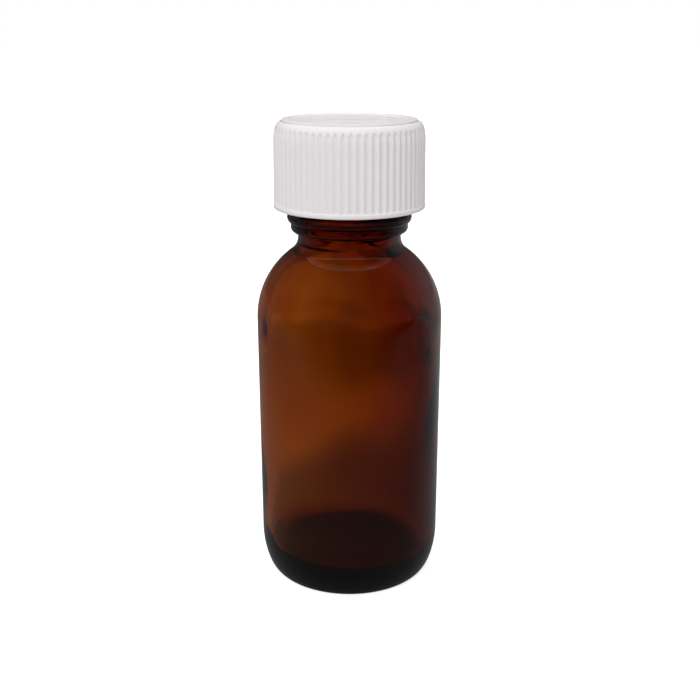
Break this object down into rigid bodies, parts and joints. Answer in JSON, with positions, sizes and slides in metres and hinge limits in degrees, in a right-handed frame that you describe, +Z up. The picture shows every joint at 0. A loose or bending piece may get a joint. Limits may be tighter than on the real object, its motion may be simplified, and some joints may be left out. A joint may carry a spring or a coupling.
{
  "type": "prescription vial",
  "caption": "Round amber glass pharmacy bottle with a white ribbed push-and-turn screw cap and a foam liner.",
  "frame": {"origin": "centre of the bottle's base, on the surface that it stands on", "axes": "+Z up along the bottle's axis; X and Y are equal"},
  "size_m": [0.0326, 0.0326, 0.0824],
  "materials": {
    "amber_glass": "moulded amber glass, fire polished, smooth and glossy",
    "foam_liner": "white polyethylene foam disc",
    "inner_cap_plastic": "moulded natural white polypropylene",
    "spring_plastic": "moulded white polypropylene, thin flexing arms",
    "white_cap_plastic": "moulded warm white polypropylene with a soft satin sheen"
  },
  "bodies": {
    "bottle": {"glass_bottle": "amber_glass"},
    "wad": {"liner": "foam_liner"},
    "inner_shell": {"inner_cap": "inner_cap_plastic"},
    "fingers": {"spring_fingers": "spring_plastic"},
    "outer_shell": {"outer_cap": "white_cap_plastic"}
  },
  "joints": [
    {"name": "cap_rise", "type": "slide", "parent": "bottle", "child": "wad", "axis": [0, 0, 1], "range_m": [0, 0.0128]},
    {"name": "cap_turn", "type": "hinge", "parent": "wad", "child": "inner_shell", "pos_m": [0, 0, 0.0784], "axis": [0, 0, 1], "range_deg": [0, 1440]},
    {"name": "shell_slip", "type": "hinge", "parent": "inner_shell", "child": "fingers", "pos_m": [0, 0, 0.0795], "axis": [0, 0, 1], "continuous": true},
    {"name": "cap_press", "type": "slide", "parent": "fingers", "child": "outer_shell", "axis": [0, 0, -1], "range_m": [0, 0.00085], "stiffness_N_per_m": 12000, "springref_m": -0.0003, "deforming": ["spring_fingers"]}
  ],
  "couplings": [
    {"joint": "cap_rise", "follows": "cap_turn", "m_per_rad": 0.00050532}
  ]
}
